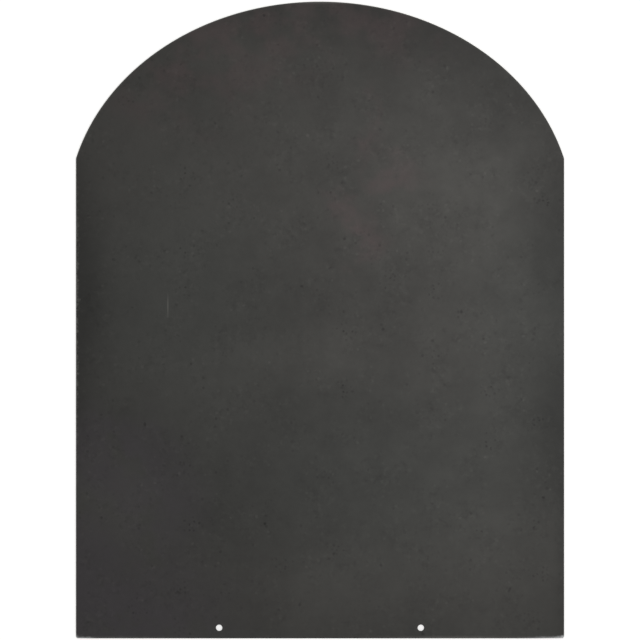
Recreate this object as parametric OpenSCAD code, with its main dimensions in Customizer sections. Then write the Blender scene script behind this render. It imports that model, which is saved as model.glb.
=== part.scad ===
// Hearth pad: an arched steel floor plate that lies under and in front of a wood stove.
// The straight edge goes to the wall and the arch faces the room.
// X runs along the wall, Y from the wall to the room, and Z up. The origin is on the floor
// under the middle of the plate.

/* [Plate] */
// Width of the plate, measured along the wall
plate_w = 920; // [700:10:1100]
// Length of the plate, from the wall edge to the crown of the arch
plate_l = 1200; // [950:10:1400]
// Thickness of the steel sheet
plate_t = 3; // [2:0.5:6]
// Radius of the two corners at the wall
corner_r = 4; // [2:1:20]
// Height and width of the ground break along the top edge, all the way round
edge_break = 1; // [0.3:0.1:1.5]

/* [Arch] */
// Height of the elliptical arch, from the line through the ellipse's centre to the crown
arch_rise = 400; // [250:10:500]
// How far the ellipse would reach past each side of the plate, which gives the arch its two shoulders
arch_overrun = 16.5; // [4:0.5:40]

/* [Wall edge holes] */
// Diameter of each hole
hole_d = 12; // [6:0.5:16]
// Distance between the centres of the two holes
hole_pitch = 380; // [200:10:600]
// Distance from the wall edge to the centres of the holes
hole_edge = 20; // [12:1:40]
// Height and width of the countersunk deburring round the top of a hole
hole_break = 0.4; // [0.1:0.1:1]

/* [Anti-slip pads] */
// Diameter of each rubber pad
pad_d = 30; // [20:1:50]
// Thickness of each rubber pad, which lifts the plate off the floor
pad_t = 2; // [1.5:0.5:6]
// Distance from the rim of the plate to the rim of an outer pad
pad_margin = 32; // [10:2:80]
// Radius of the moulded rounding round the foot of a pad
pad_round_r = 0.8; // [0.2:0.1:1.2]

/* [Hidden] */
// Height of the underside of the plate
plate_z = pad_t;
// The wall edge, the crown and the sides of the plate
wall_y = -plate_l / 2;
crown_y = plate_l / 2;
side_x = plate_w / 2;
// The arch is the upper part of an ellipse with these half axes, centred on this line
arch_a = side_x + arch_overrun;
arch_b = arch_rise;
arch_y = crown_y - arch_b;
// The share by which the ellipse shrinks over the height of the edge break
arch_shrink = edge_break / ((arch_a + arch_b) / 2);
// Angle round the ellipse from the crown to a shoulder, and the height of the shoulders
shoulder_angle = asin(side_x / arch_a);
shoulder_y = arch_y + arch_b * cos(shoulder_angle);
// Centre line of the holes
hole_y = wall_y + hole_edge;
// How far a pad's centre stays inside the rim, and where the outer pads sit
pad_inset = pad_margin + pad_d / 2;
pad_side_x = side_x - pad_inset;
pad_wall_y = wall_y + pad_inset;
pad_shoulder_y = shoulder_y - pad_inset;
pad_side_y = (pad_wall_y + pad_shoulder_y) / 2;
pad_crown_y = crown_y - pad_inset;
// The two middle pads stand a third of the way from either end row
pad_rear_y = pad_wall_y + (pad_crown_y - pad_wall_y) / 3;
pad_front_y = pad_crown_y - (pad_crown_y - pad_wall_y) / 3;
// How far a cutter runs past the face that it cuts
overcut = 0.1;
// Segments round the arch and round small circles, for the preview
arch_fn = 240;
round_fn = 48;

// Where a point at this angle from the crown lies on the arch
function on_arch(angle) = [arch_a * sin(angle), arch_y + arch_b * cos(angle)];

// Unit vector out of the arch at this angle from the crown
function arch_normal(angle) =
    let (n = [sin(angle) / arch_a, cos(angle) / arch_b])
    n / norm(n);

// A point this far inside the arch, halfway between the crown and a shoulder
pad_arch_at = on_arch(shoulder_angle / 2) - pad_inset * arch_normal(shoulder_angle / 2);

// Name and place of each pad, seen from above with the wall at the bottom
PADS = [
    ["pad_wall_left", [-pad_side_x, pad_wall_y]],
    ["pad_wall_centre", [0, pad_wall_y]],
    ["pad_wall_right", [pad_side_x, pad_wall_y]],
    ["pad_side_left", [-pad_side_x, pad_side_y]],
    ["pad_side_right", [pad_side_x, pad_side_y]],
    ["pad_shoulder_left", [-pad_side_x, pad_shoulder_y]],
    ["pad_shoulder_right", [pad_side_x, pad_shoulder_y]],
    ["pad_arch_left", [-pad_arch_at.x, pad_arch_at.y]],
    ["pad_arch_right", pad_arch_at],
    ["pad_crown", [0, pad_crown_y]],
    ["pad_middle_rear", [0, pad_rear_y]],
    ["pad_middle_front", [0, pad_front_y]],
];

// Section of the sheet from its lower to its upper face, as wide as given, with its top edges broken
module broken_section(width) {
    polygon([
        [-width / 2, 0],
        [width / 2, 0],
        [width / 2, plate_t - edge_break],
        [width / 2 - edge_break, plate_t],
        [-width / 2 + edge_break, plate_t],
        [-width / 2, plate_t - edge_break],
    ]);
}

// A strip with broken long edges, from the wall to the crown
module side_strip() {
    translate([0, crown_y, 0])
        rotate([90, 0, 0])
            linear_extrude(plate_l)
                broken_section(plate_w);
}

// A strip with broken long edges, from side to side: one edge is the wall edge, and the other lies
// well past the crown, where it cuts nothing
module wall_strip() {
    length = 2 * plate_l;
    translate([-side_x, wall_y + length / 2, 0])
        rotate([90, 0, 90])
            linear_extrude(plate_w)
                broken_section(length);
}

// A disc of unit radius with a broken top edge, stretched to the ellipse of the arch
module arch_disc() {
    translate([0, arch_y, 0])
        scale([arch_a, arch_b, 1])
            rotate_extrude($fn = arch_fn)
                polygon([
                    [0, 0],
                    [1, 0],
                    [1, plate_t - edge_break],
                    [1 - arch_shrink, plate_t],
                    [0, plate_t],
                ]);
}

// Everything between the wall and the line through the ellipse's centre
module tail() {
    translate([-arch_a, wall_y, 0])
        cube([2 * arch_a, plate_l - arch_b, plate_t]);
}

// The waste at a wall corner: what lies outside a rounded corner whose top edge is broken
module corner_waste() {
    difference() {
        translate([-overcut, -overcut, -overcut])
            cube([corner_r + overcut, corner_r + overcut, plate_t + 2 * overcut]);
        translate([corner_r, corner_r, 0])
            rotate_extrude($fn = round_fn)
                polygon([
                    [0, -2 * overcut],
                    [corner_r, -2 * overcut],
                    [corner_r, plate_t - edge_break],
                    [corner_r - edge_break - 2 * overcut, plate_t + 2 * overcut],
                    [0, plate_t + 2 * overcut],
                ]);
    }
}

// A hole through the sheet with its top edge countersunk lightly
module hole_waste() {
    hole_r = hole_d / 2;
    sink_h = hole_break + overcut;
    translate([0, 0, -overcut])
        cylinder(r = hole_r, h = plate_t + 2 * overcut, $fn = round_fn);
    translate([0, 0, plate_t - hole_break])
        cylinder(r1 = hole_r, r2 = hole_r + sink_h, h = sink_h, $fn = round_fn);
}

// One sheet of hot-rolled steel, cut to the outline, with the two holes cut through
module steel_plate() {
    color("#42413f")
        translate([0, 0, plate_z])
            difference() {
                intersection() {
                    side_strip();
                    wall_strip();
                    union() {
                        arch_disc();
                        tail();
                    }
                }
                for (side = [-1, 1]) {
                    translate([side * side_x, wall_y, 0])
                        mirror([side > 0 ? 1 : 0, 0, 0])
                            corner_waste();
                    translate([side * hole_pitch / 2, hole_y, 0])
                        hole_waste();
                }
            }
}

// Half section of a pad: a flat disc with a rounded foot
module pad_section() {
    square([pad_d / 2 - pad_round_r, pad_t]);
    translate([0, pad_round_r])
        square([pad_d / 2, pad_t - pad_round_r]);
    translate([pad_d / 2 - pad_round_r, pad_round_r])
        circle(r = pad_round_r, $fn = round_fn);
}

// One self-adhesive moulded rubber pad, stuck to the underside of the plate
module pad(place) {
    color("#1d1d1c")
        translate([place.x, place.y, 0])
            rotate_extrude($fn = round_fn)
                pad_section();
}

steel_plate();
for (p = PADS)
    pad(p[1]);
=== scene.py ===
"""Blender scene of an arched steel hearth pad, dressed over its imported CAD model.

The plate lies under and in front of a wood stove. Its straight edge goes to the wall, at -Y, and
its arch faces the room, at +Y. All sizes are in metres and in the frame of the CAD model, whose
origin is on the floor under the middle of the plate. The plate's top lies in shadowless studio
light, as in the photograph, and the camera looks straight down on it.
"""

import logging
import math
from dataclasses import dataclass
from enum import IntEnum

import bmesh
import bpy
from bmesh.types import BMesh, BMFace
from bpy.types import Material, Node, NodeSocket, NodeTree, Object
from mathutils import Matrix, Vector


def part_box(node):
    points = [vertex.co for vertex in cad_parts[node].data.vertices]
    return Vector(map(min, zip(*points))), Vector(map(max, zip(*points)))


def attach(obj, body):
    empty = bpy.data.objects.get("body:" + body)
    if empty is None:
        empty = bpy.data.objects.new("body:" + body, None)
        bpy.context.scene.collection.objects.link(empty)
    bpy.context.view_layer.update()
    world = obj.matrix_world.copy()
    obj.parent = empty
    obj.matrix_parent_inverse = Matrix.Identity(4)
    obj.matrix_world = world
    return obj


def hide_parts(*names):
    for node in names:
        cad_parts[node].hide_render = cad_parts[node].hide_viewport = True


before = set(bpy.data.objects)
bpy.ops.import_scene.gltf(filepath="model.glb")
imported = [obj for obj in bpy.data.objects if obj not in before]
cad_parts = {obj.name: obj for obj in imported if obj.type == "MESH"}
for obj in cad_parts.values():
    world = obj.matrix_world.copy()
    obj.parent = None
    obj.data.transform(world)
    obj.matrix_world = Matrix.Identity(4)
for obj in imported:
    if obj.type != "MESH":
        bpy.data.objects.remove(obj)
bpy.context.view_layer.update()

log = logging.getLogger("hearth_pad")

Pair = tuple[float, float]
Triple = tuple[float, float, float]
SocketValue = float | tuple[float, ...] | NodeSocket
Layers = list[tuple[NodeSocket, str]]

# Two places or heights nearer than this, in metres, are the same
CLOSE = 1e-6
# A point this near to a cutting plane, in metres, lies on it
ON_PLANE = 1e-7


def linear(hex_colour: str) -> tuple[float, float, float, float]:
    """Turn an sRGB hex colour into linear red, green, blue and alpha.

    Args:
        hex_colour: Six hex digits after a hash.

    Returns:
        The colour as shader sockets take it, with full alpha.
    """
    shares = [int(hex_colour[i : i + 2], 16) / 255 for i in (1, 3, 5)]
    red, green, blue = (s / 12.92 if s <= 0.04045 else ((s + 0.055) / 1.055) ** 2.4 for s in shares)
    return red, green, blue, 1.0


def per_metre(millimetres: float) -> float:
    """Scale of a pattern whose cells or waves are this many millimetres across."""
    return 1000 / millimetres


def add_node(
    tree: NodeTree, kind: str, inputs: dict[str | int, SocketValue], **settings: object
) -> Node:
    """Add a node to a tree, give it its settings, and set or link its inputs.

    Args:
        tree: The material's or world's node tree.
        kind: Blender's name for the kind of node.
        inputs: A value or another node's output for each input named or numbered here.
        **settings: Properties of the node, such as its operation.

    Returns:
        The new node.
    """
    node = tree.nodes.new(kind)
    for name, value in settings.items():
        setattr(node, name, value)
    for key, value in inputs.items():
        if isinstance(value, NodeSocket):
            tree.links.new(value, node.inputs[key])
        else:
            node.inputs[key].default_value = value
    return node


def new_material(name: str) -> tuple[Material, NodeTree]:
    """Make an empty node material.

    Args:
        name: The material's name.

    Returns:
        The material and its node tree.
    """
    material = bpy.data.materials.new(name)
    material.use_nodes = True
    material.node_tree.nodes.clear()
    return material, material.node_tree


def finish_mesh(name: str, bm: BMesh, materials: list[Material]) -> Object:
    """Turn a bmesh into an object at the origin, with its faces outward.

    Args:
        name: Name of the piece.
        bm: The finished shape, in its place. It is freed here.
        materials: The materials that its faces' numbers stand for.

    Returns:
        The new object, linked to the scene.
    """
    bmesh.ops.recalc_face_normals(bm, faces=bm.faces)
    mesh = bpy.data.meshes.new(name)
    bm.to_mesh(mesh)
    bm.free()
    for material in materials:
        mesh.materials.append(material)
    piece = bpy.data.objects.new(name, mesh)
    bpy.context.scene.collection.objects.link(piece)
    return piece


def spin_profile(bm: BMesh, centre: Vector, profile: list[Pair], steps: int) -> None:
    """Turn a profile once round an upright axis.

    Args:
        bm: The bmesh that gets the turned shape.
        centre: Where the axis meets the floor.
        profile: Radius and height of each point.
        steps: How many faces go round.
    """
    verts = [bm.verts.new(centre + Vector((radius, 0, height))) for radius, height in profile]
    edges = [bm.edges.new(pair) for pair in zip(verts, verts[1:])]
    bmesh.ops.spin(
        bm, geom=verts + edges, cent=centre, axis=(0, 0, 1), angle=math.tau, steps=steps, use_merge=True
    )


def layer_over(tree: NodeTree, colour: SocketValue, layers: Layers) -> SocketValue:
    """Lay colours over a first one, each as strongly as its share says.

    Args:
        tree: The material's node tree.
        colour: The colour at the bottom.
        layers: Share and sRGB hex colour of each layer, from the lowest to the highest.

    Returns:
        The mixed colour.
    """
    for share, shade in layers:
        # A Mix node takes its two colours at inputs 6 and 7 and gives the mix at output 2
        colour = add_node(
            tree, "ShaderNodeMix", {0: share, 6: colour, 7: linear(shade)}, data_type="RGBA"
        ).outputs[2]
    return colour


def stray(tree: NodeTree, place: NodeSocket, noise: NodeSocket, reach: Pair) -> NodeSocket:
    """Shift places about by a noise, so that what is drawn on them has ragged outlines.

    Args:
        tree: The material's node tree.
        place: Where on the plate a point lies, in metres.
        noise: The noise's colour.
        reach: Width of the band in which an outline strays, along X and along Y, in metres.

    Returns:
        The shifted place.
    """
    away = add_node(
        tree,
        "ShaderNodeVectorMath",
        {0: noise, 1: (*reach, 0.0), 2: (-reach[0] / 2, -reach[1] / 2, 0.0)},
        operation="MULTIPLY_ADD",
    )
    return add_node(
        tree, "ShaderNodeVectorMath", {0: place, 1: away.outputs[0]}, operation="ADD"
    ).outputs[0]


@dataclass(frozen=True)
class CloudLayer:
    """One layer of cloudy tone in the mill scale, taken from its own part of the noise."""

    size_mm: float
    weight: float
    away: Triple
    detail: float = 1.0
    roughness: float = 0.5

    def value(self, tree: NodeTree, place: NodeSocket) -> NodeSocket:
        """Add the layer's nodes.

        Args:
            tree: The material's node tree.
            place: Where on the plate a point lies, in metres.

        Returns:
            An output near 0.5, lower where the layer is darker.
        """
        moved = add_node(tree, "ShaderNodeVectorMath", {0: place, 1: self.away}, operation="ADD")
        return add_node(
            tree,
            "ShaderNodeTexNoise",
            {
                "Vector": moved.outputs[0],
                "Scale": per_metre(self.size_mm),
                "Detail": self.detail,
                "Roughness": self.roughness,
            },
        ).outputs[0]


@dataclass(frozen=True)
class SpeckLayer:
    """One layer of small spots in the mill scale, at most one in each cell of a hidden mesh."""

    cell_mm: float
    radius_mm: float
    share: float
    shift: float
    # Share of its radius out to which a spot is full, and how much weaker the weak spots are
    core: float = 0.3
    contrast: float = 1.6

    def mask(self, tree: NodeTree, place: NodeSocket) -> NodeSocket:
        """Add the layer's nodes.

        Args:
            tree: The material's node tree.
            place: Where on the plate a point lies, in metres.

        Returns:
            An output that is 0 between the spots and up to 1 on the strongest of them.
        """
        moved = add_node(
            tree, "ShaderNodeVectorMath", {0: place, 1: (self.shift, self.shift / 3, 0.0)}, operation="ADD"
        )
        cells = add_node(
            tree,
            "ShaderNodeTexVoronoi",
            {"Vector": moved.outputs[0], "Scale": per_metre(self.cell_mm)},
            voronoi_dimensions="2D",
            feature="F1",
        )
        radius = self.radius_mm / self.cell_mm
        spot = add_node(
            tree,
            "ShaderNodeMapRange",
            {"Value": cells.outputs["Distance"], "From Min": radius, "From Max": radius * self.core},
            interpolation_type="SMOOTHSTEP",
        )
        chance = add_node(tree, "ShaderNodeSeparateColor", {"Color": cells.outputs["Color"]})
        weight = add_node(
            tree, "ShaderNodeMapRange", {"Value": chance.outputs[0], "From Min": 1 - self.share}
        )
        strength = add_node(
            tree, "ShaderNodeMath", {0: weight.outputs[0], 1: self.contrast}, operation="POWER"
        )
        return add_node(
            tree, "ShaderNodeMath", {0: spot.outputs[0], 1: strength.outputs[0]}, operation="MULTIPLY"
        ).outputs[0]


@dataclass(frozen=True)
class Zone:
    """A soft oval patch of lighter, darker or tinted steel, of painted shade or of a painted highlight."""

    centre: Pair
    reach: Pair
    change: float

    def strength(self, tree: NodeTree, place: NodeSocket) -> NodeSocket:
        """Add the patch's nodes.

        Args:
            tree: The material's node tree.
            place: Where on the plate a point lies, in metres.

        Returns:
            An output that is the change in the middle of the patch and falls softly to 0 at its rim.
        """
        centred = add_node(
            tree,
            "ShaderNodeMapping",
            {"Vector": place, "Location": (*self.centre, 0.0), "Scale": (*self.reach, 1.0)},
            vector_type="TEXTURE",
        )
        away = add_node(tree, "ShaderNodeVectorMath", {0: centred.outputs[0]}, operation="LENGTH")
        return add_node(
            tree,
            "ShaderNodeMapRange",
            {"Value": away.outputs["Value"], "From Min": 1.0, "From Max": 0.0, "To Max": self.change},
            interpolation_type="SMOOTHERSTEP",
        ).outputs[0]


def add_up(
    tree: NodeTree, place: NodeSocket, zones: tuple[Zone, ...], start: SocketValue
) -> SocketValue:
    """Add the strengths of zones to a first value.

    Args:
        tree: The material's node tree.
        place: Where on the plate a point lies, in metres.
        zones: The zones.
        start: The first value.

    Returns:
        The sum.
    """
    total = start
    for zone in zones:
        total = add_node(
            tree, "ShaderNodeMath", {0: total, 1: zone.strength(tree, place)}, operation="ADD"
        ).outputs[0]
    return total


@dataclass(frozen=True)
class MillScaleSteel:
    """Hot-rolled steel that keeps its dark mill scale, under clear matt lacquer.

    The scale gives the eye a charcoal metal with a broad dull sheen, cloudy tones, clusters of
    small dark pits, a breath of rust red and violet here and there, and one scratch from handling.
    Painted shade and a painted dark reflection darken the two sides, and painted highlights lie
    along the rims and at the wall corners.
    """

    dark: str = "#383735"
    light: str = "#4d4c49"
    cool_dark: str = "#363735"
    cool_light: str = "#4b4c49"
    pit: str = "#1b1a19"
    fleck: str = "#8a8883"
    # Colour of the scratch and of the painted highlights along the rims and round the arch
    scratch_and_highlight_colour: str = "#8b8984"
    # Colour of the painted highlights at the wall corners
    bare_steel_and_highlight: str = "#cfd0d1"
    rust: str = "#58494a"
    violet: str = "#484349"
    roughness: float = 0.5
    roughness_spread: float = 0.05
    lacquer: float = 0.35
    lacquer_roughness: float = 0.42
    skin_mm: float = 9.0
    # Height is drawn out this much below the top face, so the underside has clouds of its own and
    # none of the top's marks
    top: float = 0.005
    stretch: float = 1000.0
    # The clouds and the zones move the tone away from its mean
    mean_tone: float = 0.475
    clouds: tuple[CloudLayer, ...] = (
        CloudLayer(size_mm=350.0, weight=0.5, away=(1.7, 0.0, 0.0)),
        CloudLayer(size_mm=130.0, weight=0.26, away=(7.0, 2.1, 0.0)),
        CloudLayer(size_mm=60.0, weight=0.6, away=(4.1, 9.7, 0.0), detail=4.0, roughness=0.75),
    )
    zones: tuple[Zone, ...] = (
        # The first five zones darken the two sides: a painted dark reflection along the left side and
        # painted shade along the right side
        Zone((-0.475, 0.08), (0.12, 0.38), -0.7),
        Zone((-0.475, -0.17), (0.075, 0.17), -0.28),
        Zone((0.475, 0.17), (0.17, 0.24), -0.38),
        Zone((0.475, -0.22), (0.14, 0.26), -0.46),
        Zone((0.465, -0.49), (0.035, 0.2), -0.24),
        Zone((0.0, 0.64), (0.75, 0.2), -0.36),
        Zone((0.18, 0.6), (0.28, 0.24), -0.32),
        Zone((0.38, 0.44), (0.26, 0.26), -0.2),
        Zone((-0.1, 0.53), (0.3, 0.16), 0.17),
        Zone((-0.09, 0.36), (0.2, 0.15), 0.18),
        Zone((-0.38, 0.38), (0.2, 0.2), 0.17),
        Zone((-0.29, 0.17), (0.32, 0.33), 0.26),
        Zone((-0.3, -0.1), (0.14, 0.12), 0.14),
        Zone((0.34, 0.2), (0.2, 0.3), 0.16),
        Zone((0.2, 0.06), (0.5, 0.11), -0.12),
        Zone((-0.07, -0.09), (0.36, 0.13), 0.18),
        Zone((0.18, -0.14), (0.24, 0.2), -0.1),
        Zone((-0.2, -0.33), (0.3, 0.16), -0.12),
        Zone((-0.39, -0.345), (0.17, 0.17), 0.36),
        Zone((0.04, -0.52), (0.2, 0.16), 0.2),
        Zone((0.36, -0.45), (0.24, 0.18), 0.2),
    )
    # The scale is a touch cooler at the left, at the right and below the middle
    cool: tuple[Zone, ...] = (
        Zone((-0.28, 0.03), (0.34, 0.36), 0.62),
        Zone((0.47, -0.02), (0.3, 0.42), 0.6),
        Zone((0.08, -0.29), (0.66, 0.28), 0.62),
    )
    # Rust shows along the arch and right of the upper middle, and violet at the lower left
    rusty: tuple[Zone, ...] = (
        Zone((-0.24, 0.48), (0.34, 0.2), 0.36),
        Zone((0.06, 0.57), (0.4, 0.14), 0.36),
    )
    blotched: tuple[Zone, ...] = (
        Zone((0.085, 0.165), (0.075, 0.065), 0.5),
        Zone((0.045, 0.205), (0.09, 0.05), 0.36),
        Zone((0.09, 0.37), (0.045, 0.11), 0.4),
        Zone((0.145, 0.275), (0.09, 0.06), 0.36),
    )
    tempered: tuple[Zone, ...] = (
        Zone((-0.39, -0.25), (0.2, 0.13), 0.42),
        Zone((-0.29, -0.36), (0.13, 0.16), 0.38),
        Zone((-0.38, -0.56), (0.34, 0.18), 0.5),
        Zone((-0.46, -0.43), (0.13, 0.13), 0.4),
    )
    # A tint shows where its noise is above the least value, and is full one rise further up
    rusty_least: float = 0.42
    blotched_least: float = 0.36
    tempered_least: float = 0.3
    tint_rise: float = 0.22
    tint_mm: float = 75.0
    tint_away: Triple = (2.9, 3.7, 0.0)
    tint_stray: Pair = (0.2, 0.2)
    # Where the noise of each stipple starts to show, where it is full, and how strong it is then
    dark_stipple: Triple = (0.48, 0.28, 0.2)
    pale_stipple: Triple = (0.54, 0.74, 0.052)
    stipple_mm: float = 11.0
    pits: tuple[tuple[SpeckLayer, float], ...] = (
        (SpeckLayer(cell_mm=24.0, radius_mm=3.7, share=0.6, shift=0.0), 0.36),
        (SpeckLayer(cell_mm=75.0, radius_mm=4.2, share=0.5, shift=3.1), 0.66),
    )
    flecks: tuple[tuple[SpeckLayer, float], ...] = (
        (SpeckLayer(cell_mm=24.0, radius_mm=3.8, share=0.5, shift=7.7), 0.09),
    )
    # Pits, flecks and stipple gather where a cloudy noise is high, and thin out where it is low
    gather_mm: float = 70.0
    gather_from: float = 0.38
    gather_full: float = 0.62
    gather_least: float = 0.15
    spot_away: Triple = (6.4, 2.3, 0.0)
    spot_stray: float = 0.006
    # A nest of close small pits, and the pits in it
    nest: SpeckLayer = SpeckLayer(cell_mm=95.0, radius_mm=30.0, share=0.8, shift=12.3)
    nested: SpeckLayer = SpeckLayer(cell_mm=9.0, radius_mm=3.2, share=0.9, shift=5.2)
    nest_depth: float = 0.66
    scratch: Zone = Zone((-0.2866, 0.0265), (0.0022, 0.034), 0.29)
    # Painted highlights lie along the left side, the wall edge and the crown, where the rim catches the
    # light
    rim_highlights: tuple[Zone, ...] = (
        Zone((-0.46, 0.0), (0.0068, 0.42), 0.36),
        Zone((-0.38, -0.6), (0.17, 0.0065), 0.26),
        Zone((0.25, -0.6), (0.24, 0.007), 0.22),
        Zone((0.0, 0.6), (0.14, 0.0075), 0.2),
    )
    # Painted highlights lie on the two wall corners, where the edge catches the light
    corner_highlights: tuple[Zone, ...] = (
        Zone((-0.4625, -0.6), (0.018, 0.0102), 0.95),
        Zone((-0.447, -0.6), (0.04, 0.0052), 0.42),
        Zone((0.4625, -0.6), (0.027, 0.0092), 1.1),
        Zone((0.44, -0.6), (0.09, 0.0065), 0.35),
    )
    # Noise that frays the outlines of the painted highlights
    highlight_fray_mm: float = 9.0
    highlight_stray: Pair = (0.03, 0.006)
    # The faint painted highlight round the arch's rim: the ellipse's centre and half axes, the shares of
    # them between which it rises, how strong it is, and the heights over which it fades in from the
    # shoulders
    arch_centre: Pair = (0.0, 0.2)
    arch_axes: Pair = (0.4765, 0.4)
    arch_line: Pair = (0.991, 0.998)
    arch_line_strength: float = 0.09
    arch_line_fade: Pair = (0.2, 0.32)

    def tone(self, tree: NodeTree, place: NodeSocket) -> NodeSocket:
        """Mix the clouds and the zones into one tone.

        Args:
            tree: The material's node tree.
            place: Where on the plate a point lies, in metres.

        Returns:
            An output near 0.5, lower where the scale is darker and where shade is painted along the sides.
        """
        # Noise is 0.5 on average, so half of each cloud's weight comes off at the start
        total: SocketValue = self.mean_tone - sum(layer.weight for layer in self.clouds) / 2
        for layer in self.clouds:
            total = add_node(
                tree,
                "ShaderNodeMath",
                {0: layer.value(tree, place), 1: layer.weight, 2: total},
                operation="MULTIPLY_ADD",
            ).outputs[0]
        return add_up(tree, place, self.zones, total)

    def tints(self, tree: NodeTree, place: NodeSocket) -> Layers:
        """Add the ragged blotches of rust red and violet.

        Args:
            tree: The material's node tree.
            place: Where on the plate a point lies, in metres.

        Returns:
            Each blotch's share and its colour.
        """
        aside = add_node(tree, "ShaderNodeVectorMath", {0: place, 1: self.tint_away}, operation="ADD")
        ragged = add_node(
            tree,
            "ShaderNodeTexNoise",
            {
                "Vector": aside.outputs[0],
                "Scale": per_metre(self.tint_mm),
                "Detail": 4.0,
                "Roughness": 0.6,
            },
        )
        frayed = stray(tree, place, ragged.outputs["Color"], self.tint_stray)
        found = []
        for zones, colour, least in (
            (self.rusty, self.rust, self.rusty_least),
            (self.blotched, self.rust, self.blotched_least),
            (self.tempered, self.violet, self.tempered_least),
        ):
            shown = add_node(
                tree,
                "ShaderNodeMapRange",
                {"Value": ragged.outputs[0], "From Min": least, "From Max": least + self.tint_rise},
                interpolation_type="SMOOTHSTEP",
            ).outputs[0]
            for zone in zones:
                share = add_node(
                    tree, "ShaderNodeMath", {0: shown, 1: zone.strength(tree, frayed)}, operation="MULTIPLY"
                )
                found.append((share.outputs[0], colour))
        return found

    def spots(self, tree: NodeTree, place: NodeSocket) -> Layers:
        """Add the stipple, pits and flecks, which gather in clusters, and the nests of pits.

        Args:
            tree: The material's node tree.
            place: Where on the plate a point lies, in metres.

        Returns:
            Each layer's share and its colour.
        """
        aside = add_node(tree, "ShaderNodeVectorMath", {0: place, 1: self.spot_away}, operation="ADD")
        clouds = add_node(
            tree,
            "ShaderNodeTexNoise",
            {"Vector": aside.outputs[0], "Scale": per_metre(self.gather_mm), "Detail": 2.0},
        )
        gathered = add_node(
            tree,
            "ShaderNodeMapRange",
            {
                "Value": clouds.outputs[0],
                "From Min": self.gather_from,
                "From Max": self.gather_full,
                "To Min": self.gather_least,
            },
            interpolation_type="SMOOTHSTEP",
        ).outputs[0]
        stipple = add_node(
            tree,
            "ShaderNodeTexNoise",
            {
                "Vector": aside.outputs[0],
                "Scale": per_metre(self.stipple_mm),
                "Detail": 3.0,
                "Roughness": 0.55,
            },
        ).outputs["Color"]
        ragged = add_node(
            tree,
            "ShaderNodeVectorMath",
            {0: stipple, 1: (self.spot_stray, self.spot_stray, 0.0), 2: place},
            operation="MULTIPLY_ADD",
        ).outputs[0]
        grains = add_node(tree, "ShaderNodeSeparateColor", {"Color": stipple})
        loose = []
        for channel, ((start, full, depth), colour) in enumerate(
            ((self.dark_stipple, self.pit), (self.pale_stipple, self.fleck))
        ):
            grain = add_node(
                tree,
                "ShaderNodeMapRange",
                {"Value": grains.outputs[channel], "From Min": start, "From Max": full, "To Max": depth},
            )
            loose.append((grain.outputs[0], colour))
        for layers, colour in ((self.pits, self.pit), (self.flecks, self.fleck)):
            for layer, depth in layers:
                spot = add_node(
                    tree, "ShaderNodeMath", {0: layer.mask(tree, ragged), 1: depth}, operation="MULTIPLY"
                )
                loose.append((spot.outputs[0], colour))
        found = []
        for value, colour in loose:
            share = add_node(tree, "ShaderNodeMath", {0: value, 1: gathered}, operation="MULTIPLY")
            found.append((share.outputs[0], colour))
        close = add_node(
            tree,
            "ShaderNodeMath",
            {0: self.nest.mask(tree, ragged), 1: self.nested.mask(tree, ragged)},
            operation="MULTIPLY",
        )
        deep = add_node(
            tree, "ShaderNodeMath", {0: close.outputs[0], 1: self.nest_depth}, operation="MULTIPLY"
        )
        found.append((deep.outputs[0], self.pit))
        return found

    def scratch_and_highlights(self, tree: NodeTree, place: NodeSocket) -> Layers:
        """Add the scratch, and the painted highlights along the rims, at the wall corners and round the
        arch.

        Args:
            tree: The material's node tree.
            place: Where on the plate a point lies, in metres.

        Returns:
            Each mark's share and its colour.
        """
        noise = add_node(
            tree,
            "ShaderNodeTexNoise",
            {"Vector": place, "Scale": per_metre(self.highlight_fray_mm), "Detail": 5.0, "Roughness": 0.65},
        )
        frayed = stray(tree, place, noise.outputs["Color"], self.highlight_stray)
        marks = [(self.scratch.strength(tree, place), self.scratch_and_highlight_colour)]
        # Painted highlights along the rims and at the wall corners
        marks += [(zone.strength(tree, frayed), self.scratch_and_highlight_colour) for zone in self.rim_highlights]
        marks += [(zone.strength(tree, frayed), self.bare_steel_and_highlight) for zone in self.corner_highlights]
        # A faint painted highlight round the arch's rim
        round_arch = add_node(
            tree,
            "ShaderNodeMapping",
            {"Vector": place, "Location": (*self.arch_centre, 0.0), "Scale": (*self.arch_axes, 1.0)},
            vector_type="TEXTURE",
        )
        flat = add_node(
            tree, "ShaderNodeVectorMath", {0: round_arch.outputs[0], 1: (1, 1, 0)}, operation="MULTIPLY"
        )
        reach = add_node(tree, "ShaderNodeVectorMath", {0: flat.outputs[0]}, operation="LENGTH")
        inner, outer = self.arch_line
        at_rim = add_node(
            tree,
            "ShaderNodeMapRange",
            {
                "Value": reach.outputs["Value"],
                "From Min": inner,
                "From Max": outer,
                "To Max": self.arch_line_strength,
            },
            interpolation_type="SMOOTHSTEP",
        )
        along = add_node(tree, "ShaderNodeSeparateXYZ", {0: place})
        low, high = self.arch_line_fade
        on_arch = add_node(
            tree, "ShaderNodeMapRange", {"Value": along.outputs["Y"], "From Min": low, "From Max": high}
        )
        line = add_node(
            tree, "ShaderNodeMath", {0: at_rim.outputs[0], 1: on_arch.outputs[0]}, operation="MULTIPLY"
        )
        marks.append((line.outputs[0], self.scratch_and_highlight_colour))
        return marks

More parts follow.
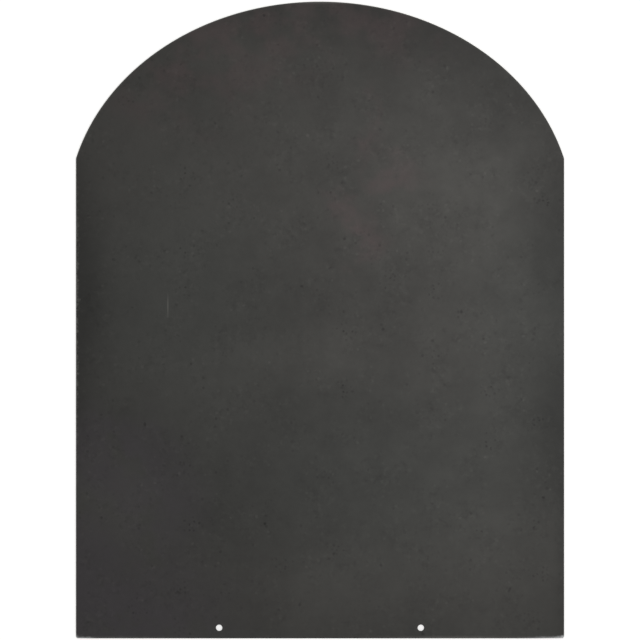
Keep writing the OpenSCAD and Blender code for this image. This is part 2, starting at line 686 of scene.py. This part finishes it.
    def build(self) -> Material:
        """Mix the tones, the tints, the spots, the scratch and the painted highlights under the lacquer.

        Returns:
            The material.
        """
        material, tree = new_material("mill_scale_steel_lacquered")
        whole = add_node(tree, "ShaderNodeTexCoord", {}).outputs["Object"]
        place = add_node(
            tree,
            "ShaderNodeVectorMath",
            {0: whole, 1: (1.0, 1.0, self.stretch), 2: (0.0, 0.0, (1 - self.stretch) * self.top)},
            operation="MULTIPLY_ADD",
        ).outputs[0]
        tone = self.tone(tree, place)
        warm = layer_over(tree, linear(self.dark), [(tone, self.light)])
        cool = layer_over(tree, linear(self.cool_dark), [(tone, self.cool_light)])
        colour = add_node(
            tree,
            "ShaderNodeMix",
            {0: add_up(tree, place, self.cool, 0.0), 6: warm, 7: cool},
            data_type="RGBA",
        ).outputs[2]
        layers = self.tints(tree, place) + self.spots(tree, place) + self.scratch_and_highlights(tree, place)
        dull = add_node(
            tree,
            "ShaderNodeMapRange",
            {
                "Value": tone,
                "From Min": 0.2,
                "From Max": 0.8,
                "To Min": self.roughness + self.roughness_spread,
                "To Max": self.roughness - self.roughness_spread,
            },
        )
        skin = add_node(
            tree, "ShaderNodeTexNoise", {"Vector": place, "Scale": per_metre(self.skin_mm), "Detail": 5.0}
        )
        relief = add_node(
            tree, "ShaderNodeBump", {"Strength": 0.6, "Distance": 0.0003, "Height": skin.outputs[0]}
        )
        shader = add_node(
            tree,
            "ShaderNodeBsdfPrincipled",
            {
                "Base Color": layer_over(tree, colour, layers),
                "Metallic": 1.0,
                "Roughness": dull.outputs[0],
                "Coat Weight": self.lacquer,
                "Coat Roughness": self.lacquer_roughness,
                "Normal": relief.outputs[0],
            },
        )
        add_node(tree, "ShaderNodeOutputMaterial", {"Surface": shader.outputs[0]})
        return material


@dataclass(frozen=True)
class GroundEdge:
    """Bare steel where the top edge was ground by hand, which catches the light as a thin line.

    Painted shade darkens the line along the right side and in the middle of the wall edge, and
    painted highlights lie on it at the two wall corners.
    """

    # Colour of the painted highlights at the two wall corners
    corner_highlight_colour: str = "#cfd0d1"
    bare_steel_and_highlight: str = "#727270"
    # Scale colour, which also stands for the painted shade
    scale_and_shade: str = "#3a3937"
    marks_mm: float = 45.0
    least_taken: float = 0.7
    roughness_from: float = 0.5
    roughness_to: float = 0.35
    # Painted shade darkens the line between these two distances from the middle, near the right side
    right_shade_fade: Pair = (0.452, 0.4585)
    # Painted shade that darkens the line in the middle of the wall edge
    mid_wall_shade: Zone = Zone((-0.02, -0.6), (0.46, 0.06), -0.9)
    # Painted highlights on the line at the two wall corners
    corners: tuple[Zone, ...] = (
        Zone((-0.468, -0.6), (0.06, 0.012), 0.8),
        Zone((0.472, -0.6), (0.1, 0.012), 0.95),
    )

    def build(self) -> Material:
        """Mix scale and ground steel, with painted shade and the painted highlights at the corners.

        Returns:
            The material.
        """
        material, tree = new_material("ground_steel_edge")
        place = add_node(tree, "ShaderNodeTexCoord", {}).outputs["Object"]
        marks = add_node(
            tree, "ShaderNodeTexNoise", {"Vector": place, "Scale": per_metre(self.marks_mm), "Detail": 3.0}
        )
        along = add_node(tree, "ShaderNodeSeparateXYZ", {0: place})
        # Painted shade near the right side
        inner, outer = self.right_shade_fade
        right = add_node(
            tree, "ShaderNodeMapRange", {"Value": along.outputs["X"], "From Min": outer, "From Max": inner}
        )
        taken = add_node(
            tree,
            "ShaderNodeMapRange",
            {"Value": marks.outputs[0], "From Min": 0.25, "From Max": 0.75, "To Min": self.least_taken},
        )
        # Painted shade in the middle of the wall edge
        unshaded = add_node(
            tree, "ShaderNodeMath", {0: self.mid_wall_shade.strength(tree, place), 1: 1.0}, operation="ADD"
        )
        share = right.outputs[0]
        for factor in (taken, unshaded):
            share = add_node(
                tree, "ShaderNodeMath", {0: share, 1: factor.outputs[0]}, operation="MULTIPLY"
            ).outputs[0]
        ground = layer_over(tree, linear(self.scale_and_shade), [(share, self.bare_steel_and_highlight)])
        # Painted highlights at the two wall corners
        rim_highlights = [(corner.strength(tree, place), self.corner_highlight_colour) for corner in self.corners]
        dull = add_node(
            tree,
            "ShaderNodeMapRange",
            {"Value": marks.outputs[0], "To Min": self.roughness_from, "To Max": self.roughness_to},
        )
        shader = add_node(
            tree,
            "ShaderNodeBsdfPrincipled",
            {
                "Base Color": layer_over(tree, ground, rim_highlights),
                "Metallic": 1.0,
                "Roughness": dull.outputs[0],
            },
        )
        add_node(tree, "ShaderNodeOutputMaterial", {"Surface": shader.outputs[0]})
        return material


@dataclass(frozen=True)
class LaserCutEdge:
    """Laser-cut steel: a grey oxide skin with fine upright drag lines, which make it look combed."""

    dark: str = "#3f3e3d"
    light: str = "#6d6a66"
    # The lines are 0.3 mm apart on a real edge, and drawn coarser so that they show
    line_mm: float = 1.1
    line_weight: float = 1.4
    # Height counts this much in the lines' pattern, which draws them out upright
    line_squash: float = 0.06
    patch_mm: float = 70.0
    tone_range: Pair = (0.85, 1.55)
    roughness_from: float = 0.58
    roughness_to: float = 0.42

    def build(self) -> Material:
        """Draw the lines over broader patches of oxide.

        Returns:
            The material.
        """
        material, tree = new_material("laser_cut_steel_edge")
        place = add_node(tree, "ShaderNodeTexCoord", {}).outputs["Object"]
        level = add_node(
            tree, "ShaderNodeVectorMath", {0: place, 1: (1.0, 1.0, self.line_squash)}, operation="MULTIPLY"
        )
        lines = add_node(
            tree,
            "ShaderNodeTexNoise",
            {"Vector": level.outputs[0], "Scale": per_metre(self.line_mm), "Detail": 2.0},
        )
        patches = add_node(
            tree, "ShaderNodeTexNoise", {"Vector": place, "Scale": per_metre(self.patch_mm), "Detail": 2.0}
        )
        tone = add_node(
            tree,
            "ShaderNodeMath",
            {0: lines.outputs[0], 1: self.line_weight, 2: patches.outputs[0]},
            operation="MULTIPLY_ADD",
        )
        low, high = self.tone_range
        shade = add_node(
            tree, "ShaderNodeMapRange", {"Value": tone.outputs[0], "From Min": low, "From Max": high}
        )
        colour = layer_over(tree, linear(self.dark), [(shade.outputs[0], self.light)])
        relief = add_node(
            tree, "ShaderNodeBump", {"Strength": 0.35, "Distance": 0.0001, "Height": lines.outputs[0]}
        )
        dull = add_node(
            tree,
            "ShaderNodeMapRange",
            {"Value": lines.outputs[0], "To Min": self.roughness_from, "To Max": self.roughness_to},
        )
        shader = add_node(
            tree,
            "ShaderNodeBsdfPrincipled",
            {
                "Base Color": colour,
                "Metallic": 1.0,
                "Roughness": dull.outputs[0],
                "Normal": relief.outputs[0],
            },
        )
        add_node(tree, "ShaderNodeOutputMaterial", {"Surface": shader.outputs[0]})
        return material


@dataclass(frozen=True)
class MouldedRubber:
    """Compression-moulded black rubber: matt, finely pitted, and greyed by a little floor dust."""

    black: str = "#1d1d1c"
    dusty: str = "#32312f"
    pit_mm: float = 1.2
    dust_mm: float = 11.0
    dust_range: Pair = (0.42, 0.68)
    roughness_from: float = 0.6
    roughness_to: float = 0.85

    def build(self) -> Material:
        """Lay the dust over the pitted rubber.

        Returns:
            The material.
        """
        material, tree = new_material("moulded_rubber")
        place = add_node(tree, "ShaderNodeTexCoord", {}).outputs["Object"]
        pits = add_node(
            tree, "ShaderNodeTexNoise", {"Vector": place, "Scale": per_metre(self.pit_mm), "Detail": 3.0}
        )
        dust = add_node(
            tree, "ShaderNodeTexNoise", {"Vector": place, "Scale": per_metre(self.dust_mm), "Detail": 4.0}
        )
        clean, dusted = self.dust_range
        share = add_node(
            tree,
            "ShaderNodeMapRange",
            {"Value": dust.outputs[0], "From Min": clean, "From Max": dusted},
            interpolation_type="SMOOTHSTEP",
        )
        colour = layer_over(tree, linear(self.black), [(share.outputs[0], self.dusty)])
        relief = add_node(
            tree, "ShaderNodeBump", {"Strength": 0.4, "Distance": 0.0001, "Height": pits.outputs[0]}
        )
        dull = add_node(
            tree,
            "ShaderNodeMapRange",
            {"Value": dust.outputs[0], "To Min": self.roughness_from, "To Max": self.roughness_to},
        )
        shader = add_node(
            tree,
            "ShaderNodeBsdfPrincipled",
            {
                "Base Color": colour,
                "Roughness": dull.outputs[0],
                "IOR": 1.52,
                "Normal": relief.outputs[0],
            },
        )
        add_node(tree, "ShaderNodeOutputMaterial", {"Surface": shader.outputs[0]})
        return material


@dataclass(frozen=True)
class AdhesiveFilm:
    """Double-sided acrylic foam tape: an off-white, faintly cellular line between pad and steel."""

    pale: str = "#cfccc2"
    cell: str = "#a9a69c"
    cell_mm: float = 0.35
    roughness_from: float = 0.55
    roughness_to: float = 0.8

    def build(self) -> Material:
        """Shade the foam's cells.

        Returns:
            The material.
        """
        material, tree = new_material("acrylic_foam_tape")
        place = add_node(tree, "ShaderNodeTexCoord", {}).outputs["Object"]
        foam = add_node(
            tree, "ShaderNodeTexVoronoi", {"Vector": place, "Scale": per_metre(self.cell_mm)}, feature="F1"
        ).outputs["Distance"]
        colour = layer_over(tree, linear(self.pale), [(foam, self.cell)])
        dull = add_node(
            tree,
            "ShaderNodeMapRange",
            {"Value": foam, "To Min": self.roughness_from, "To Max": self.roughness_to},
        )
        shader = add_node(
            tree,
            "ShaderNodeBsdfPrincipled",
            {"Base Color": colour, "Roughness": dull.outputs[0], "IOR": 1.47},
        )
        add_node(tree, "ShaderNodeOutputMaterial", {"Surface": shader.outputs[0]})
        return material


class Face(IntEnum):
    """Which of the plate's three finishes a face has, as its material number."""

    SCALE = 0
    GROUND = 1
    CUT = 2


@dataclass
class SteelPlate:
    """The sheet of steel: arched outline, ground top edge, rounded wall corners and two holes."""

    width: float = 0.920
    length: float = 1.200
    thickness: float = 0.003
    underside: float = 0.002
    corner_radius: float = 0.004
    edge_break: float = 0.001
    rim_radius: float = 0.00015
    arch_rise: float = 0.400
    arch_overrun: float = 0.0165
    arch_segments: int = 720
    hole_diameter: float = 0.012
    hole_pitch: float = 0.380
    hole_edge: float = 0.020
    hole_break: float = 0.0004
    hole_segments: int = 96
    corner_segments: int = 8
    rim_segments: int = 2
    # Only the two flat faces have more corners than this
    flat_corners: int = 100
    # How upright a face's normal is from which it is flat, and up to which it is a wall
    flat_from: float = 0.999
    wall_up_to: float = 0.3
    sharp_angle: float = math.radians(30)

    @property
    def side_x(self) -> float:
        """How far a side lies from the middle."""
        return self.width / 2

    @property
    def wall_y(self) -> float:
        """Where the wall edge lies."""
        return -self.length / 2

    @property
    def arch_y(self) -> float:
        """Where the centre of the arch's ellipse lies."""
        return self.length / 2 - self.arch_rise

    @property
    def top(self) -> float:
        """Height of the top face."""
        return self.underside + self.thickness

    def outline(self, bm: BMesh) -> BMFace:
        """Cut the outline from an ellipse and draw it out to the wall, as one flat face.

        Args:
            bm: An empty bmesh.

        Returns:
            The face, at the height of the underside.
        """
        ellipse = Matrix.Translation((0, self.arch_y, self.underside))
        ellipse @= Matrix.Diagonal((self.side_x + self.arch_overrun, self.arch_rise, 1, 1))
        bmesh.ops.create_circle(bm, cap_ends=True, segments=self.arch_segments, radius=1.0, matrix=ellipse)
        for point, away in (
            ((self.side_x, 0, 0), (1, 0, 0)),
            ((-self.side_x, 0, 0), (-1, 0, 0)),
            ((0, self.arch_y, 0), (0, -1, 0)),
        ):
            geom = bm.verts[:] + bm.edges[:] + bm.faces[:]
            bmesh.ops.bisect_plane(
                bm, geom=geom, dist=ON_PLANE, plane_co=point, plane_no=away, clear_outer=True
            )
        corners = [v for v in bm.verts if v.co.y < self.arch_y + CLOSE]
        bmesh.ops.translate(bm, verts=corners, vec=(0, self.wall_y - self.arch_y, 0))
        bmesh.ops.bevel(
            bm,
            geom=corners,
            offset=self.corner_radius,
            affect="VERTICES",
            segments=self.corner_segments,
            profile=0.5,
            material=-1,
        )
        bm.faces.ensure_lookup_table()
        return bm.faces[0]

    def thicken(self, bm: BMesh, outline: BMFace) -> None:
        """Raise the outline to the sheet's thickness, grind its top edge and soften its rims.

        Args:
            bm: The bmesh that holds the outline.
            outline: The outline's face.
        """
        raised = bmesh.ops.extrude_face_region(bm, geom=[outline])["geom"]
        top = next(g for g in raised if isinstance(g, BMFace))
        bmesh.ops.translate(bm, verts=top.verts, vec=(0, 0, self.thickness - self.edge_break))
        bmesh.ops.recalc_face_normals(bm, faces=bm.faces)
        bmesh.ops.inset_region(
            bm, faces=[top], thickness=self.edge_break, depth=self.edge_break, use_even_offset=True
        )
        rims = [e for e in bm.edges if abs(e.verts[0].co.z - e.verts[1].co.z) < CLOSE]
        bmesh.ops.bevel(
            bm,
            geom=rims,
            offset=self.rim_radius,
            affect="EDGES",
            segments=self.rim_segments,
            profile=0.5,
            material=-1,
            clamp_overlap=True,
        )

    def bore(self, bm: BMesh, centre: Vector) -> None:
        """Add the wall of one hole, with its light countersink.

        Args:
            bm: The bmesh of the plate.
            centre: Centre of the hole, at floor level.
        """
        radius = self.hole_diameter / 2
        profile = [
            (radius + self.rim_radius, self.underside),
            (radius, self.underside + self.rim_radius),
            (radius, self.top - self.hole_break),
            (radius + self.hole_break, self.top),
        ]
        spin_profile(bm, centre, profile, self.hole_segments)

    def close(self, bm: BMesh) -> None:
        """Open the two flat faces, bore the holes, and fill the faces again around them.

        Args:
            bm: The bmesh of the plate.
        """
        flats = [f for f in bm.faces if len(f.verts) > self.flat_corners]
        bmesh.ops.delete(bm, geom=flats, context="FACES_ONLY")
        for side in (-1, 1):
            self.bore(bm, Vector((side * self.hole_pitch / 2, self.wall_y + self.hole_edge, 0)))
        for height in (self.underside, self.top):
            bounds = [e for e in bm.edges if e.is_boundary]
            rim = [e for e in bounds if all(abs(v.co.z - height) < CLOSE for v in e.verts)]
            bmesh.ops.triangle_fill(bm, edges=rim, use_beauty=True, normal=(0, 0, 1))

    def dress(self, bm: BMesh) -> None:
        """Give each face its finish, and smooth the walls between sharp rims.

        Args:
            bm: The bmesh of the plate.
        """
        bmesh.ops.recalc_face_normals(bm, faces=bm.faces)
        low_rim = self.underside + 2 * self.rim_radius
        for face in bm.faces:
            upright = abs(face.normal.z)
            face.smooth = upright < self.flat_from
            if upright > self.flat_from:
                face.material_index = Face.SCALE
            elif upright < self.wall_up_to or face.calc_center_median().z < low_rim:
                face.material_index = Face.CUT
            else:
                face.material_index = Face.GROUND
        for edge in bm.edges:
            edge.smooth = edge.calc_face_angle(0.0) < self.sharp_angle

    def build(self) -> Object:
        """Model the plate and hand it over to the frame.

        Returns:
            The plate's object.
        """
        bm = bmesh.new()
        self.thicken(bm, self.outline(bm))
        self.close(bm)
        self.dress(bm)
        finishes = [MillScaleSteel().build(), GroundEdge().build(), LaserCutEdge().build()]
        plate = finish_mesh("arched_steel_sheet", bm, finishes)
        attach(plate, "root")
        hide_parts("steel_plate")
        log.info("%s: %d faces", plate.name, len(plate.data.polygons))
        return plate


@dataclass
class GripPad:
    """One self-adhesive rubber pad under the plate, with grip rings moulded into its foot."""

    node: str
    diameter: float = 0.030
    height: float = 0.002
    round_radius: float = 0.0008
    ring_depth: float = 0.0004
    rings: int = 5
    steps_per_ring: int = 8
    round_steps: int = 6
    top_break: float = 0.0001
    film: float = 0.00025
    film_inset: float = 0.0004
    turns: int = 72
    # How upright a face's normal is from which it is flat
    flat_from: float = 0.9999
    sharp_angle: float = math.radians(40)

    def profile(self) -> list[Pair]:
        """Radius and height of each point from the middle of the foot round to the top.

        Returns:
            The points of the half section, without the axis at the top.
        """
        outer = self.diameter / 2
        foot = outer - self.round_radius
        count = self.rings * self.steps_per_ring
        points = []
        for i in range(count + 1):
            wave = 1 - math.cos(math.tau * i / self.steps_per_ring)
            points.append((foot * i / count, self.ring_depth / 2 * wave))
        for i in range(1, self.round_steps + 1):
            angle = math.radians(90 * i / self.round_steps)
            out, up = math.sin(angle), 1 - math.cos(angle)
            points.append((foot + self.round_radius * out, self.round_radius * up))
        shoulder = self.height - self.film
        points += [
            (outer, shoulder - self.top_break),
            (outer - self.top_break, shoulder),
            (outer - self.film_inset, shoulder),
            (outer - self.film_inset, self.height),
            (0.0, self.height),
        ]
        return points

    def build(self, finishes: list[Material]) -> Object:
        """Model the pad where the CAD node lies, and hand it over to the frame.

        Args:
            finishes: The rubber and the adhesive film.

        Returns:
            The pad's object.
        """
        low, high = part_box(self.node)
        centre = Vector(((low.x + high.x) / 2, (low.y + high.y) / 2, 0))
        bm = bmesh.new()
        spin_profile(bm, centre, self.profile(), self.turns)
        bmesh.ops.remove_doubles(bm, verts=bm.verts, dist=CLOSE)
        bmesh.ops.recalc_face_normals(bm, faces=bm.faces)
        film_from = self.height - self.film + CLOSE
        for face in bm.faces:
            face.smooth = abs(face.normal.z) < self.flat_from
            face.material_index = int(face.calc_center_median().z > film_from)
        for edge in bm.edges:
            edge.smooth = edge.calc_face_angle(0.0) < self.sharp_angle
        pad = finish_mesh(self.node.replace("pad_", "grip_pad_"), bm, finishes)
        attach(pad, "root")
        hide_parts(self.node)
        log.info("%s: %d faces", pad.name, len(pad.data.polygons))
        return pad


@dataclass
class GripPads:
    """The twelve pads: along the wall edge, the sides and the arch, and two in the middle."""

    nodes: tuple[str, ...] = (
        "pad_wall_left",
        "pad_wall_centre",
        "pad_wall_right",
        "pad_side_left",
        "pad_side_right",
        "pad_shoulder_left",
        "pad_shoulder_right",
        "pad_arch_left",
        "pad_arch_right",
        "pad_crown",
        "pad_middle_rear",
        "pad_middle_front",
    )

    def build(self) -> None:
        """Model all pads in the same two finishes."""
        finishes = [MouldedRubber().build(), AdhesiveFilm().build()]
        for node in self.nodes:
            GripPad(node).build(finishes)


@dataclass(frozen=True)
class Softbox:
    """A studio light with a flat rectangular face."""

    name: str
    size: Pair
    place: Triple
    aim: Triple
    watts: float

    def build(self) -> None:
        """Hang the light and point it."""
        light = bpy.data.lights.new(self.name, "AREA")
        light.shape = "RECTANGLE"
        light.size, light.size_y = self.size
        light.energy = self.watts
        lamp = bpy.data.objects.new(self.name, light)
        lamp.location = self.place
        lamp.rotation_euler = (Vector(self.aim) - Vector(self.place)).to_track_quat("-Z", "Y").to_euler()
        bpy.context.scene.collection.objects.link(lamp)


@dataclass
class Studio:
    """A pale floor, soft light and a camera that looks straight down, as in the photograph."""

    lens: float = 100.0
    sensor_width: float = 36.0
    camera_height: float = 3.3539
    world_strength: float = 0.45
    horizon_strength: float = 0.95
    # The tent dims from the horizon up to where a look into it rises by this much
    horizon_reach: float = 0.7
    floor_colour: str = "#e9e8e5"
    floor_glow: float = 0.55
    floor_radius: float = 30.0
    floor_segments: int = 128
    lights: tuple[Softbox, ...] = (
        Softbox("key_strip", (0.6, 2.0), (0.54, 0.28, 2.5), (0.54, 0.28, 0.0), 11.6),
        Softbox("low_wall_side", (1.6, 0.4), (0.5, -2.4, 0.4), (0.1, -0.6, 0.0), 3.0),
    )

    def add_camera(self) -> None:
        """Place the camera above the middle of the plate, with the wall edge at the foot."""
        data = bpy.data.cameras.new("camera")
        data.lens = self.lens
        data.sensor_width = self.sensor_width
        camera = bpy.data.objects.new("camera", data)
        camera.location = (0, 0, self.camera_height)
        bpy.context.scene.collection.objects.link(camera)
        bpy.context.scene.camera = camera

    def add_world(self) -> None:
        """Fill the room with even light, as a white tent does."""
        world = bpy.data.worlds.new("light_tent")
        world.use_nodes = True
        world.node_tree.nodes.clear()
        way = add_node(world.node_tree, "ShaderNodeTexCoord", {})
        height = add_node(world.node_tree, "ShaderNodeSeparateXYZ", {0: way.outputs["Generated"]})
        level = add_node(
            world.node_tree,
            "ShaderNodeMapRange",
            {
                "Value": height.outputs["Z"],
                "From Min": 0.0,
                "From Max": self.horizon_reach,
                "To Min": self.horizon_strength,
                "To Max": self.world_strength,
            },
            interpolation_type="SMOOTHSTEP",
        )
        glow = add_node(
            world.node_tree,
            "ShaderNodeBackground",
            {"Color": linear("#ffffff"), "Strength": level.outputs[0]},
        )
        add_node(world.node_tree, "ShaderNodeOutputWorld", {"Surface": glow.outputs[0]})
        bpy.context.scene.world = world

    def add_floor(self) -> None:
        """Lay the pale floor, which glows a little so that it reads white around the plate."""
        material, tree = new_material("pale_floor")
        shader = add_node(
            tree,
            "ShaderNodeBsdfPrincipled",
            {
                "Base Color": linear(self.floor_colour),
                "Roughness": 0.9,
                "Specular IOR Level": 0.1,
                "Emission Color": linear("#ffffff"),
                "Emission Strength": self.floor_glow,
            },
        )
        add_node(tree, "ShaderNodeOutputMaterial", {"Surface": shader.outputs[0]})
        bm = bmesh.new()
        bmesh.ops.create_circle(
            bm, cap_ends=True, segments=self.floor_segments, radius=self.floor_radius
        )
        finish_mesh("pale_floor", bm, [material])

    def build(self) -> None:
        """Set up the camera, the light and the floor."""
        self.add_camera()
        self.add_world()
        self.add_floor()
        for light in self.lights:
            light.build()
        bpy.context.scene.view_settings.view_transform = "Standard"
        log.info("studio: camera, %d lights, world and floor", len(self.lights))


def main() -> None:
    """Build the studio, the plate and its pads, in that order."""
    logging.basicConfig(level=logging.INFO, format="%(name)s: %(message)s")
    Studio().build()
    SteelPlate().build()
    GripPads().build()


if __name__ == "__main__":
    main()
